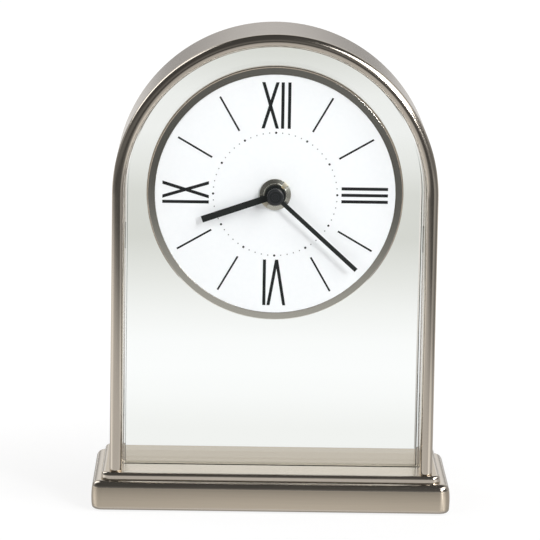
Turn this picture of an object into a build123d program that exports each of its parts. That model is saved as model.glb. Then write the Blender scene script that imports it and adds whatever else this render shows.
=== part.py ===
from build123d import *
from math import cos, radians, sin
import os

# Arched glass mantel clock, millimetres.
# X runs to the right, Y to the back, Z up. The origin is on the table, under the middle of the base.

# Base
plinth_height = 12.0
plinth_corner_radius = 4.5
plinth_edge_radius = 3.0
plinth_foot_radius = 1.5
plinth_wall = 3.0
plinth_roof = 4.0
ledge = 3.95
arch_side_margin = 3.25
arch_face_margin = 1.65
step_height = 2.95
step_corner_radius = 3.4
step_edge_radius = 1.5
bottom_plate_thickness = 1.0
bottom_plate_recess = 0.5
bottom_plate_fit = 0.2
foot_diameter = 10.0
foot_thickness = 1.0
foot_inset = 13.0

# Arch and glass
arch_inner_radius = 60.6
arch_thickness = 5.2
arch_depth = 51.0
arch_edge_radius = 2.5
arch_foot_radius = 0.5
arch_centre_height = 129.1
glass_thickness = 8.0
glass_front_y = -11.2
glass_edge_gap = 0.3
glass_arris = 0.5
slot_depth = 1.2
slot_fit = 0.15
cushion_thickness = 0.4
cushion_margin = 0.5
pad_width = 5.0
pad_height = 10.0
pad_heights = (40.0, 110.0)

# Fasteners of the base
arch_screw_spacing = 28.0
arch_screw_diameter = 3.0
arch_screw_head_diameter = 5.5
arch_screw_head_height = 2.0
arch_screw_grip = 10.0
arch_boss_diameter = 9.0
arch_boss_drop = 2.5
plate_screw_diameter = 2.5
plate_screw_head_diameter = 5.0
plate_screw_length = 6.0
plate_boss_diameter = 7.0
screw_clearance = 0.2
thread_fit = 0.02

# Dial and bezel
dial_radius = 48.6
dial_thickness = 0.8
dial_fit = 0.05
bezel_depth = 5.0
bezel_radius = 52.1
bezel_wall = 1.0
bezel_face_width = 2.6
bezel_face_slope = 0.3
bezel_shoulder = 0.35
bezel_lip = 1.4
spacer_diameter = 22.0
washer_diameter = 12.0
washer_thickness = 0.3
nut_diameter = 12.8
nut_flange = 0.55
nut_flange_rise = 0.45
nut_height = 2.0
nut_collar_diameter = 9.4
nut_slot_width = 1.6
nut_slot_depth = 1.4
nut_slot_angle = 45.0

# Hands, with angles read clockwise from twelve
hour_angle = 251.0
hour_length = 31.2
hour_width = 2.7
hour_hub_radius = 4.15
hour_gap = 0.5
minute_angle = 132.0
minute_length = 44.6
minute_width = 1.75
minute_hub_radius = 3.3
hand_thickness = 0.4
hand_spacing = 1.7
hand_fit = 0.01
cap_height = 3.1
cap_bore_depth = 1.4
cap_edge_radius = 0.35

# Movement case
bush_diameter = 8.0
bush_bore = 5.1
bush_flange_diameter = 11.0
bush_flange = 0.5
bush_fit = 0.1
sleeve_wall = 0.9
cup_radius = 46.0
cup_wall = 1.0
cup_floor = 0.8
cup_depth = 22.5
rubber_washer_thickness = 0.8
rubber_washer_diameter = 30.0
case_corner_radius = 2.5
case_wall = 1.4
case_front_wall = 1.4
case_depth = 16.0
front_case_depth = 10.0
partition_thickness = 1.0
partition_gap = 1.66
bridge_wall_gap = 0.77
battery_diameter = 14.2
battery_length = 49.3
battery_button_diameter = 5.4
battery_button_length = 1.2
battery_fit = 0.3
contact_gap = 0.35
contact_thickness = 0.5
contact_width = 6.0
contact_tail = 12.0
contact_strip_width = 1.8

# Wheels of the movement
motion_module = 0.35
train_module = 0.25
centre_module = 0.28
fourth_module = 0.30
cannon_teeth = 10
motion_teeth = 30
motion_pinion_teeth = 8
hour_teeth = 32
setting_teeth = 10
pinion_teeth = 8
centre_teeth = 60
third_teeth = 64
fourth_teeth = 40
fifth_teeth = 48
gear_addendum = 0.85
gear_dedendum = 1.15
tooth_root_share = 0.42
tooth_tip_share = 0.18
wheel_thickness = 0.6
pinion_length = 1.0
layer_gap = 0.3
running_fit = 0.05
arbor_diameter = 1.0
centre_pivot_diameter = 1.6
centre_journal_diameter = 2.0
minute_shaft_diameter = 3.2
setting_arbor_diameter = 1.6
motion_post_diameter = 1.2
pivot_depth = 0.9
end_play = 0.1
motion_direction = 180.0
setting_direction = 135.0
third_direction = 60.0
fourth_direction = -38.0
fifth_direction = 60.0
rotor_direction = 100.0
magnet_radius = 2.8
magnet_length = 1.8
stator_gap = 0.5
stator_thickness = 1.0
stator_bar = 4.0
stator_ring = 2.1
stator_end_gap = 1.5
coil_inset = 4.0
post_inset = 2.0
bridge_thickness = 1.0
bridge_margin = 2.0
post_diameter = 3.0
bridge_screw_diameter = 1.6
bridge_screw_head_diameter = 3.0
bridge_screw_head_height = 0.8
bridge_screw_grip = 4.0
low_post_shift = 2.0
low_post_rise = 3.0
side_post_reach = 8.2
side_post_drop = 2.8
top_post_x = 1.5
top_post_gap = 0.7
knob_radius = 5.5
knob_height = 4.0
knob_flutes = 24
knob_flute_radius = 0.45
coil_length = 14.0
coil_height = 7.6
coil_depth = 5.6
coil_corner_radius = 1.5
core_fit = 0.05
board_wall_gap = 1.0
board_height = 18.0
board_thickness = 0.8
board_hole_margin = 0.5
board_hole_inset = 1.85
board_drop = 1.5
chip_diameter = 5.0
chip_height = 1.2
crystal_diameter = 2.0
crystal_length = 6.0

# Plan of the base, round the feet of the arch
arch_outer_radius = arch_inner_radius + arch_thickness
arch_middle_radius = arch_inner_radius + arch_thickness / 2
step_width = 2 * (arch_outer_radius + arch_side_margin)
step_depth = arch_depth + 2 * arch_face_margin
base_width = step_width + 2 * ledge
base_depth = step_depth + 2 * ledge
cavity_width = base_width - 2 * plinth_wall
cavity_depth = base_depth - 2 * plinth_wall
plate_boss_x = cavity_width / 2 - plate_boss_diameter / 2
plate_boss_y = cavity_depth / 2 - plate_boss_diameter / 2

# Heights of the base
plinth_bottom = foot_thickness - bottom_plate_recess
plinth_top = plinth_bottom + plinth_height
step_top = plinth_top + step_height
cavity_top = plinth_top - plinth_roof
plate_bottom = plinth_bottom + bottom_plate_recess
plate_top = plate_bottom + bottom_plate_thickness
arch_boss_bottom = cavity_top - arch_boss_drop
slot_bottom = step_top - slot_depth
glass_bottom = slot_bottom + cushion_thickness

# Places along Y, from the glass forwards and backwards
glass_radius = arch_inner_radius - glass_edge_gap
glass_back_y = glass_front_y + glass_thickness
dial_front_y = glass_front_y - bezel_depth
dial_back_y = dial_front_y + dial_thickness
washer_front_y = dial_front_y - washer_thickness
nut_front_y = washer_front_y - nut_height
hour_back_y = nut_front_y - hour_gap
hour_front_y = hour_back_y - hand_thickness
minute_back_y = hour_front_y - hand_spacing
minute_front_y = minute_back_y - hand_thickness
shaft_front_y = minute_front_y - cap_bore_depth + end_play
cap_front_y = minute_front_y - cap_height
cup_floor_y = glass_back_y + cup_floor
case_front_y = cup_floor_y + rubber_washer_thickness
cavity_y = case_front_y + case_front_wall
parting_y = case_front_y + front_case_depth
case_back_y = case_front_y + case_depth
rear_wall_y = case_back_y - case_wall

# Layers of wheels behind the front wall of the case
hour_wheel_y = cavity_y + bush_flange + layer_gap
hour_wheel_back_y = hour_wheel_y + wheel_thickness
motion_wheel_y = hour_wheel_back_y + 2 * layer_gap
centre_wheel_y = motion_wheel_y + wheel_thickness + 2 * layer_gap
third_wheel_y = centre_wheel_y + wheel_thickness + 2 * layer_gap
fourth_wheel_y = third_wheel_y + wheel_thickness + 2 * layer_gap
fifth_wheel_y = fourth_wheel_y + wheel_thickness + 2 * layer_gap
magnet_y = fifth_wheel_y + wheel_thickness + 2 * layer_gap
stator_y = magnet_y + (magnet_length - stator_thickness) / 2
bridge_y = magnet_y + magnet_length + 3 * layer_gap
bridge_back_y = bridge_y + bridge_thickness
arbor_front_y = cavity_y - pivot_depth + end_play
arbor_back_y = bridge_back_y - end_play
pinion_overlap = (pinion_length - wheel_thickness) / 2


def polar(radius, angle):
    """Point at a radius and an angle in degrees, seen from the front."""
    return (radius * cos(radians(angle)), radius * sin(radians(angle)))


def beside(place, first_teeth, second_teeth, module, direction):
    """Arbor of a wheel that meshes with one at place."""
    dx, dz = polar((first_teeth + second_teeth) * module / 2, direction)
    return (place[0] + dx, place[1] + dz)


# Arbors, as X and Z from the axis of the hands
centre_at = (0.0, 0.0)
motion_at = beside(centre_at, cannon_teeth, motion_teeth, motion_module, motion_direction)
setting_at = beside(motion_at, motion_teeth, setting_teeth, motion_module, setting_direction)
third_at = beside(centre_at, centre_teeth, pinion_teeth, centre_module, third_direction)
fourth_at = beside(third_at, third_teeth, pinion_teeth, train_module, fourth_direction)
fifth_at = beside(fourth_at, fourth_teeth, pinion_teeth, fourth_module, fifth_direction)
rotor_at = beside(fifth_at, fifth_teeth, pinion_teeth, train_module, rotor_direction)

# Battery bay along the bottom of the case, under the centre wheel
partition_top = -(centre_teeth / 2 + gear_addendum) * centre_module - partition_gap
partition_bottom = partition_top - partition_thickness
bay_height = battery_diameter + 2 * battery_fit
bay_bottom = partition_bottom - bay_height
battery_z = bay_bottom + bay_height / 2
battery_y = cavity_y + battery_fit + battery_diameter / 2

# Inside of the case: as wide as the battery with its contacts, and high enough for the bridge
stator_z = rotor_at[1] + magnet_radius + stator_gap
top_post_z = stator_z + stator_bar / 2 + top_post_gap + post_diameter / 2
inner_width = battery_length + battery_button_length + 2 * (contact_thickness + contact_gap)
inner_height = top_post_z + bridge_margin + bridge_wall_gap - bay_bottom
inner_middle_z = bay_bottom + inner_height / 2
case_width = inner_width + 2 * case_wall
case_height = inner_height + 2 * case_wall

# Fixed pieces of the motor and the circuit, beside the wheels
stator_half_length = inner_width / 2 - stator_end_gap
coil_x = -stator_half_length + coil_inset + coil_length / 2
stator_post_x = stator_half_length - post_inset
stator_posts = ((-stator_post_x, stator_z), (stator_post_x, stator_z))
board_width = setting_at[0] + board_hole_inset + inner_width / 2 - board_wall_gap
board_x = setting_at[0] + board_hole_inset - board_width / 2
board_z = setting_at[1] - board_drop
board_y = stator_y
board_post_x = board_x - board_width / 2 + post_inset
board_post_rise = board_height / 2 - post_inset
board_posts = ((board_post_x, board_z - board_post_rise), (board_post_x, board_z + board_post_rise))
bridge_posts = (
    (fourth_at[0] - low_post_shift, partition_top + low_post_rise),
    (rotor_at[0] + side_post_reach, rotor_at[1] - side_post_drop),
    (top_post_x, top_post_z),
)

axis_section = Plane.XY.offset(arch_centre_height)
clock_axis = Axis((0, 0, arch_centre_height), (0, 1, 0))


def facing_front(y, at=centre_at):
    """Plane at Y, seen from the front, with its origin on an arbor. A positive extrude comes forwards."""
    return Plane(origin=(at[0], y, arch_centre_height + at[1]), x_dir=(1, 0, 0), z_dir=(0, -1, 0))


def arch_outline(radius, bottom):
    """Lines round an arch that stands on bottom, drawn on a front plane through the origin."""
    Line((-radius, bottom), (-radius, arch_centre_height))
    crown_height = arch_centre_height + radius
    ThreePointArc((-radius, arch_centre_height), (0, crown_height), (radius, arch_centre_height))
    Line((radius, arch_centre_height), (radius, bottom))


def front_plane(y):
    """Plane at Y, seen from the front, with its origin on the table."""
    return Plane(origin=(0, y, 0), x_dir=(1, 0, 0), z_dir=(0, -1, 0))


def mesh_phase(phase, teeth, other_teeth, direction):
    """Angle of a tooth of the other wheel, so that its gap takes the tooth of the first one."""
    return direction + 180 + 180 / other_teeth - (phase - direction) * teeth / other_teeth


def gear_face(teeth, module, phase):
    """Face of a spur gear with slim straight teeth, one of them at the angle phase."""
    pitch_radius = teeth * module / 2
    root_radius = pitch_radius - gear_dedendum * module
    tip_radius = pitch_radius + gear_addendum * module
    root_angle = tooth_root_share * 180 / teeth
    tip_angle = tooth_tip_share * 180 / teeth
    points = []
    for tooth in range(teeth):
        middle = phase + tooth * 360 / teeth
        points.append(polar(root_radius, middle - root_angle))
        points.append(polar(tip_radius, middle - tip_angle))
        points.append(polar(tip_radius, middle + tip_angle))
        points.append(polar(root_radius, middle + root_angle))
    Polygon(*points, align=None)


# Plinth: hollow casting with bosses for the screws
with BuildPart() as plinth:
    with BuildSketch(Plane.XY.offset(plinth_bottom)):
        RectangleRounded(base_width, base_depth, plinth_corner_radius)
    extrude(amount=plinth_height)
    fillet(plinth.edges().group_by(Axis.Z)[-1], plinth_edge_radius)
    fillet(plinth.edges().group_by(Axis.Z)[0], plinth_foot_radius)
    with BuildSketch(Plane.XY.offset(plinth_bottom)):
        RectangleRounded(cavity_width, cavity_depth, plinth_corner_radius)
    extrude(amount=plinth_height - plinth_roof, mode=Mode.SUBTRACT)
    with BuildSketch(Plane.XY.offset(plate_top)):
        with GridLocations(2 * plate_boss_x, 2 * plate_boss_y, 2, 2):
            Circle(plate_boss_diameter / 2)
    extrude(amount=cavity_top - plate_top)
    with BuildSketch(Plane.XY.offset(arch_boss_bottom)):
        with GridLocations(2 * arch_middle_radius, arch_screw_spacing, 2, 2):
            Circle(arch_boss_diameter / 2)
    extrude(amount=arch_boss_drop)
    with BuildSketch(Plane.XY.offset(plate_top)):
        with GridLocations(2 * plate_boss_x, 2 * plate_boss_y, 2, 2):
            Circle(plate_screw_diameter / 2 + thread_fit)
    extrude(amount=plate_screw_length, mode=Mode.SUBTRACT)
    with BuildSketch(Plane.XY.offset(arch_boss_bottom)):
        with GridLocations(2 * arch_middle_radius, arch_screw_spacing, 2, 2):
            Circle(arch_screw_diameter / 2 + screw_clearance)
    extrude(amount=plinth_top - arch_boss_bottom, mode=Mode.SUBTRACT)
plinth.part.label = "plinth"

# Step plate: upper step, slotted for the glass
with BuildPart() as step_plate:
    with BuildSketch(Plane.XY.offset(plinth_top)):
        RectangleRounded(step_width, step_depth, step_corner_radius)
    extrude(amount=step_height)
    fillet(step_plate.edges().group_by(Axis.Z)[-1], step_edge_radius)
    with BuildSketch(Plane.XY.offset(slot_bottom)):
        with Locations((0, (glass_front_y + glass_back_y) / 2)):
            Rectangle(2 * (glass_radius + slot_fit), glass_thickness + 2 * slot_fit)
    extrude(amount=slot_depth, mode=Mode.SUBTRACT)
    with BuildSketch(Plane.XY.offset(plinth_top)):
        with GridLocations(2 * arch_middle_radius, arch_screw_spacing, 2, 2):
            Circle(arch_screw_diameter / 2 + screw_clearance)
    extrude(amount=step_height, mode=Mode.SUBTRACT)
step_plate.part.label = "step_plate"

# Bottom plate, its screws and the feet
with BuildPart() as bottom_plate:
    with BuildSketch(Plane.XY.offset(plate_bottom)):
        RectangleRounded(
            cavity_width - 2 * bottom_plate_fit,
            cavity_depth - 2 * bottom_plate_fit,
            plinth_corner_radius - bottom_plate_fit,
        )
        with GridLocations(2 * plate_boss_x, 2 * plate_boss_y, 2, 2):
            Circle(plate_screw_diameter / 2 + screw_clearance, mode=Mode.SUBTRACT)
    extrude(amount=bottom_plate_thickness)
bottom_plate.part.label = "bottom_plate"

with BuildPart() as plate_screws:
    with BuildSketch(Plane.XY.offset(plate_bottom)):
        with GridLocations(2 * plate_boss_x, 2 * plate_boss_y, 2, 2):
            Circle(plate_screw_diameter / 2)
    extrude(amount=bottom_plate_thickness + plate_screw_length - screw_clearance)
    with BuildSketch(Plane.XY.offset(plate_bottom)):
        with GridLocations(2 * plate_boss_x, 2 * plate_boss_y, 2, 2):
            Circle(plate_screw_head_diameter / 2)
    extrude(amount=-bottom_plate_recess)
plate_screws.part.label = "plate_screws"

with BuildPart() as rubber_feet:
    with BuildSketch(Plane.XY):
        with GridLocations(base_width - 2 * foot_inset - foot_diameter, base_depth - 2 * foot_inset, 2, 2):
            Circle(foot_diameter / 2)
    extrude(amount=foot_thickness)
rubber_feet.part.label = "rubber_feet"

# Arch: a flat band on edge, bent over the top, with rounded front and rear edges
with BuildPart() as arch_frame:
    with BuildSketch(axis_section):
        with Locations((arch_middle_radius, 0)):
            RectangleRounded(arch_thickness, arch_depth, arch_edge_radius)
    revolve(axis=clock_axis, revolution_arc=-180)
    with BuildSketch(axis_section):
        with Locations((-arch_middle_radius, 0), (arch_middle_radius, 0)):
            RectangleRounded(arch_thickness, arch_depth, arch_edge_radius)
    extrude(amount=step_top - arch_centre_height)
    fillet(arch_frame.edges().group_by(Axis.Z)[0], arch_foot_radius)
    with BuildSketch(Plane.XY.offset(step_top)):
        with GridLocations(2 * arch_middle_radius, arch_screw_spacing, 2, 2):
            Circle(arch_screw_diameter / 2 + thread_fit)
    extrude(amount=arch_screw_grip + screw_clearance, mode=Mode.SUBTRACT)
arch_frame.part.label = "arch_frame"

with BuildPart() as arch_screws:
    with BuildSketch(Plane.XY.offset(arch_boss_bottom)):
        with GridLocations(2 * arch_middle_radius, arch_screw_spacing, 2, 2):
            Circle(arch_screw_diameter / 2)
    extrude(amount=step_top - arch_boss_bottom + arch_screw_grip)
    with BuildSketch(Plane.XY.offset(arch_boss_bottom)):
        with GridLocations(2 * arch_middle_radius, arch_screw_spacing, 2, 2):
            Circle(arch_screw_head_diameter / 2)
    extrude(amount=-arch_screw_head_height)
    with BuildSketch(Plane.XY.offset(arch_boss_bottom - arch_screw_head_height)):
        with GridLocations(2 * arch_middle_radius, arch_screw_spacing, 2, 2):
            RegularPolygon(arch_screw_diameter / 2, 6)
    extrude(amount=arch_screw_head_height / 2, mode=Mode.SUBTRACT)
arch_screws.part.label = "arch_screws"

# Glass panel in its slot, with a cushion under it and pads at its edges
with BuildPart() as glass_pane:
    with BuildSketch(front_plane(glass_front_y)):
        with BuildLine():
            arch_outline(glass_radius, glass_bottom)
            Line((-glass_radius, glass_bottom), (glass_radius, glass_bottom))
        make_face()
    extrude(amount=-glass_thickness)
    pane_faces = glass_pane.faces().sort_by(Axis.Y)
    chamfer(pane_faces[0].edges() + pane_faces[-1].edges(), glass_arris)
    with BuildSketch(facing_front(glass_front_y)):
        Circle(bush_diameter / 2 + bush_fit + sleeve_wall + bush_fit)
    extrude(amount=-glass_thickness, mode=Mode.SUBTRACT)
glass_pane.part.label = "glass_pane"

with BuildPart() as glass_cushion:
    with BuildSketch(Plane.XY.offset(slot_bottom)):
        with Locations((0, (glass_front_y + glass_back_y) / 2)):
            Rectangle(2 * (glass_radius - cushion_margin), glass_thickness - 2 * cushion_margin)
    extrude(amount=cushion_thickness)
glass_cushion.part.label = "glass_cushion"

with BuildPart() as edge_pads:
    with BuildSketch(front_plane((glass_front_y + glass_back_y - pad_width) / 2)):
        for side in (-1, 1):
            for height in pad_heights:
                with Locations((side * (glass_radius + glass_edge_gap / 2), height)):
                    Rectangle(glass_edge_gap, pad_height)
    extrude(amount=-pad_width)
edge_pads.part.label = "edge_pads"

# Bezel: turned ring with a lip behind the dial, standing on the glass
with BuildPart() as bezel_ring:
    with BuildSketch(axis_section):
        with BuildLine():
            inner = dial_radius + dial_fit
            lip = dial_radius - bezel_lip
            face_end = (inner + bezel_face_width, dial_front_y + bezel_face_slope)
            shoulder_end = (face_end[0] + bezel_shoulder, face_end[1] + bezel_shoulder)
            lip_back_y = dial_back_y + bezel_wall
            Line((inner, dial_front_y), face_end)
            TangentArc(face_end, shoulder_end, tangent=(bezel_face_width, bezel_face_slope))
            Polyline(
                shoulder_end,
                (bezel_radius, glass_front_y),
                (bezel_radius - bezel_wall, glass_front_y),
                (shoulder_end[0] - bezel_wall, lip_back_y),
                (lip, lip_back_y),
                (lip, dial_back_y),
                (inner, dial_back_y),
                (inner, dial_front_y),
            )
        make_face()
    revolve(axis=clock_axis)
bezel_ring.part.label = "bezel_ring"

# Dial, and the rings that the bush is clamped through
with BuildPart() as dial_plate:
    with BuildSketch(facing_front(dial_front_y)):
        Circle(dial_radius)
        Circle(bush_diameter / 2 + bush_fit, mode=Mode.SUBTRACT)
    extrude(amount=-dial_thickness)
dial_plate.part.label = "dial_plate"

with BuildPart() as dial_spacer:
    with BuildSketch(facing_front(dial_back_y)):
        Circle(spacer_diameter / 2)
        Circle(bush_diameter / 2 + bush_fit, mode=Mode.SUBTRACT)
    extrude(amount=dial_back_y - glass_front_y)
dial_spacer.part.label = "dial_spacer"

with BuildPart() as hole_sleeve:
    with BuildSketch(facing_front(glass_front_y)):
        Circle(bush_diameter / 2 + bush_fit + sleeve_wall)
        Circle(bush_diameter / 2 + bush_fit, mode=Mode.SUBTRACT)
    extrude(amount=-glass_thickness)
hole_sleeve.part.label = "hole_sleeve"

with BuildPart() as dial_washer:
    with BuildSketch(facing_front(washer_front_y)):
        Circle(washer_diameter / 2)
        Circle(bush_diameter / 2 + bush_fit, mode=Mode.SUBTRACT)
    extrude(amount=-washer_thickness)
dial_washer.part.label = "dial_washer"

# Round nut with a sloped flange, a collar and a slot across it for its key
with BuildPart() as hand_nut:
    with BuildSketch(axis_section):
        with BuildLine():
            bore = bush_diameter / 2 + thread_fit
            flange_y = washer_front_y - nut_flange
            Polyline(
                (bore, washer_front_y),
                (nut_diameter / 2, washer_front_y),
                (nut_diameter / 2, flange_y),
                (nut_collar_diameter / 2, flange_y - nut_flange_rise),
                (nut_collar_diameter / 2, nut_front_y),
                (bore, nut_front_y),
                close=True,
            )
        make_face()
    revolve(axis=clock_axis)
    with BuildSketch(facing_front(nut_front_y)):
        Rectangle(nut_diameter + nut_slot_width, nut_slot_width, rotation=nut_slot_angle)
    extrude(amount=-nut_slot_depth, mode=Mode.SUBTRACT)
hand_nut.part.label = "hand_nut"

# Cup behind the glass, and the rubber washer between it and the movement
with BuildPart() as rear_cup:
    with BuildSketch(axis_section):
        with BuildLine():
            bore = bush_diameter / 2 + bush_fit
            cup_back_y = glass_back_y + cup_depth
            Polyline(
                (bore, glass_back_y),
                (cup_radius, glass_back_y),
                (cup_radius, cup_back_y),
                (cup_radius - cup_wall, cup_back_y),
                (cup_radius - cup_wall, cup_floor_y),
                (bore, cup_floor_y),
                close=True,
            )
        make_face()
    revolve(axis=clock_axis)
rear_cup.part.label = "rear_cup"

with BuildPart() as rubber_washer:
    with BuildSketch(facing_front(cup_floor_y)):
        Circle(rubber_washer_diameter / 2)
        Circle(bush_diameter / 2 + bush_fit, mode=Mode.SUBTRACT)
    extrude(amount=-rubber_washer_thickness)
rubber_washer.part.label = "rubber_washer"

# Front half of the movement case, with the posts that carry the bridge, stator and board
with BuildPart() as front_case:
    with BuildSketch(facing_front(case_front_y)):
        with Locations((0, inner_middle_z)):
            RectangleRounded(case_width, case_height, case_corner_radius)
    extrude(amount=-front_case_depth)
    with BuildSketch(facing_front(cavity_y)):
        with Locations((0, inner_middle_z)):
            Rectangle(inner_width, inner_height)
    extrude(amount=cavity_y - parting_y, mode=Mode.SUBTRACT)
    with BuildSketch(facing_front(cavity_y)):
        with Locations((0, partition_bottom + partition_thickness / 2)):
            Rectangle(inner_width - 2 * contact_thickness, partition_thickness)
    extrude(amount=cavity_y - parting_y)
    for places, top in ((bridge_posts, bridge_y), (stator_posts, stator_y), (board_posts, board_y)):
        with BuildSketch(facing_front(cavity_y)):
            with Locations(*places):
                Circle(post_diameter / 2)
        extrude(amount=cavity_y - top)
    with BuildSketch(facing_front(cavity_y)):
        with Locations(motion_at):
            Circle(motion_post_diameter / 2)
    extrude(amount=cavity_y - motion_wheel_y - wheel_thickness)
    with BuildSketch(facing_front(case_front_y)):
        Circle(bush_diameter / 2 + thread_fit)
    extrude(amount=-case_front_wall, mode=Mode.SUBTRACT)
    with BuildSketch(facing_front(cavity_y)):
        with Locations(third_at, fourth_at, fifth_at, rotor_at):
            Circle(arbor_diameter / 2 + running_fit)
        with Locations(setting_at):
            Circle(setting_arbor_diameter / 2 + running_fit)
    extrude(amount=pivot_depth, mode=Mode.SUBTRACT)
    with BuildSketch(facing_front(bridge_y)):
        with Locations(*bridge_posts):
            Circle(bridge_screw_diameter / 2 + thread_fit)
    extrude(amount=bridge_screw_grip, mode=Mode.SUBTRACT)
front_case.part.label = "front_case"

# Rear half of the case, open over the battery
with BuildPart() as rear_case:
    with BuildSketch(facing_front(parting_y)):
        with Locations((0, inner_middle_z)):
            RectangleRounded(case_width, case_height, case_corner_radius)
    extrude(amount=parting_y - case_back_y)
    with BuildSketch(facing_front(parting_y)):
        with Locations((0, inner_middle_z)):
            Rectangle(inner_width, inner_height)
    extrude(amount=parting_y - rear_wall_y, mode=Mode.SUBTRACT)
    with BuildSketch(facing_front(parting_y)):
        with Locations((0, partition_bottom + partition_thickness / 2)):
            Rectangle(inner_width - 2 * contact_thickness, partition_thickness)
    extrude(amount=parting_y - rear_wall_y)
    with BuildSketch(facing_front(rear_wall_y)):
        with Locations((0, bay_bottom)):
            Rectangle(inner_width, bay_height, align=(Align.CENTER, Align.MIN))
        with Locations(setting_at):
            Circle(setting_arbor_diameter / 2 + running_fit)
    extrude(amount=rear_wall_y - case_back_y, mode=Mode.SUBTRACT)
rear_case.part.label = "rear_case"

# Bush through case, cup, glass and dial
with BuildPart() as threaded_bush:
    with BuildSketch(axis_section):
        with BuildLine():
            bush_front_y = nut_front_y + end_play
            Polyline(
                (bush_bore / 2, bush_front_y),
                (bush_diameter / 2, bush_front_y),
                (bush_diameter / 2, cavity_y),
                (bush_flange_diameter / 2, cavity_y),
                (bush_flange_diameter / 2, cavity_y + bush_flange),
                (bush_bore / 2, cavity_y + bush_flange),
                close=True,
            )
        make_face()
    revolve(axis=clock_axis)
threaded_bush.part.label = "threaded_bush"

# Bridge plate over the wheels, and its screws
with BuildPart() as train_bridge:
    with BuildSketch(facing_front(bridge_y)):
        with Locations(centre_at, third_at, fourth_at, fifth_at, rotor_at, *bridge_posts):
            Circle(bridge_margin)
        make_hull()
        with Locations(third_at, fourth_at, fifth_at, rotor_at):
            Circle(arbor_diameter / 2 + running_fit, mode=Mode.SUBTRACT)
        Circle(centre_pivot_diameter / 2 + running_fit, mode=Mode.SUBTRACT)
        with Locations(*bridge_posts):
            Circle(bridge_screw_diameter / 2 + thread_fit, mode=Mode.SUBTRACT)
    extrude(amount=-bridge_thickness)
train_bridge.part.label = "train_bridge"

with BuildPart() as bridge_screws:
    with BuildSketch(facing_front(bridge_back_y)):
        with Locations(*bridge_posts):
            Circle(bridge_screw_diameter / 2)
    extrude(amount=bridge_thickness + bridge_screw_grip - end_play)
    with BuildSketch(facing_front(bridge_back_y)):
        with Locations(*bridge_posts):
            Circle(bridge_screw_head_diameter / 2)
    extrude(amount=-bridge_screw_head_height)
bridge_screws.part.label = "bridge_screws"

# Tooth angles at rest, each pair set tooth to gap
cannon_phase = motion_direction
motion_phase = mesh_phase(cannon_phase, cannon_teeth, motion_teeth, motion_direction)
setting_phase = mesh_phase(motion_phase, motion_teeth, setting_teeth, setting_direction)
hour_phase = motion_direction
motion_pinion_phase = mesh_phase(hour_phase, hour_teeth, motion_pinion_teeth, motion_direction)
centre_phase = third_direction
third_pinion_phase = mesh_phase(centre_phase, centre_teeth, pinion_teeth, third_direction)
third_phase = fourth_direction
fourth_pinion_phase = mesh_phase(third_phase, third_teeth, pinion_teeth, fourth_direction)
fourth_phase = fifth_direction
fifth_pinion_phase = mesh_phase(fourth_phase, fourth_teeth, pinion_teeth, fifth_direction)
fifth_phase = rotor_direction
rotor_phase = mesh_phase(fifth_phase, fifth_teeth, pinion_teeth, rotor_direction)


def gear_layer(y, thickness, at, teeth, module, phase):
    """Gear added to the open part, from Y backwards."""
    with BuildSketch(facing_front(y, at)) as profile:
        gear_face(teeth, module, phase)
    extrude(profile.sketch, amount=-thickness)


def rod(y_front, y_back, at, radius, mode=Mode.ADD):
    """Round bar along Y, added to the open part or cut from it."""
    with BuildSketch(facing_front(y_front, at)) as profile:
        Circle(radius)
    extrude(profile.sketch, amount=y_front - y_back, mode=mode)


# Hour wheel with its pipe, and the minute shaft inside it
with BuildPart() as hour_wheel:
    gear_layer(hour_wheel_y, wheel_thickness, centre_at, hour_teeth, motion_module, hour_phase)
    rod(hour_front_y, hour_wheel_back_y, centre_at, bush_bore / 2 - running_fit)
    rod(hour_front_y, hour_wheel_back_y, centre_at, minute_shaft_diameter / 2 + running_fit, Mode.SUBTRACT)
hour_wheel.part.label = "hour_wheel"

with BuildPart() as minute_pipe:
    cannon_y = motion_wheel_y - pinion_overlap
    rod(shaft_front_y, hour_wheel_back_y + layer_gap / 2, centre_at, minute_shaft_diameter / 2)
    rod(hour_wheel_back_y, centre_wheel_y + wheel_thickness, centre_at, centre_journal_diameter / 2)
    rod(centre_wheel_y, arbor_back_y, centre_at, centre_pivot_diameter / 2)
    gear_layer(cannon_y, pinion_length, centre_at, cannon_teeth, motion_module, cannon_phase)
minute_pipe.part.label = "minute_pipe"

with BuildPart() as motion_wheel:
    pinion_y = cavity_y + layer_gap
    gear_layer(motion_wheel_y, wheel_thickness, motion_at, motion_teeth, motion_module, motion_phase)
    gear_layer(
        pinion_y, motion_wheel_y - pinion_y, motion_at,
        motion_pinion_teeth, motion_module, motion_pinion_phase,
    )
    rod(
        pinion_y, motion_wheel_y + wheel_thickness, motion_at,
        motion_post_diameter / 2 + running_fit, Mode.SUBTRACT,
    )
motion_wheel.part.label = "motion_wheel"

# Setting knob on its arbor, fluted round the edge
with BuildPart() as setting_knob:
    knob_y = case_back_y + layer_gap
    rod(arbor_front_y, knob_y + knob_height, setting_at, setting_arbor_diameter / 2)
    gear_layer(
        motion_wheel_y - pinion_overlap, pinion_length, setting_at,
        setting_teeth, motion_module, setting_phase,
    )
    with BuildSketch(facing_front(knob_y, setting_at)):
        Circle(knob_radius)
        with PolarLocations(knob_radius, knob_flutes):
            Circle(knob_flute_radius, mode=Mode.SUBTRACT)
    extrude(amount=-knob_height)
setting_knob.part.label = "setting_knob"

# Going train: centre wheel, free on the minute shaft but for its friction, then up to the rotor
with BuildPart() as centre_wheel:
    gear_layer(centre_wheel_y, wheel_thickness, centre_at, centre_teeth, centre_module, centre_phase)
    rod(
        centre_wheel_y, centre_wheel_y + wheel_thickness, centre_at,
        centre_journal_diameter / 2 + thread_fit, Mode.SUBTRACT,
    )
centre_wheel.part.label = "centre_wheel"


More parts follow.
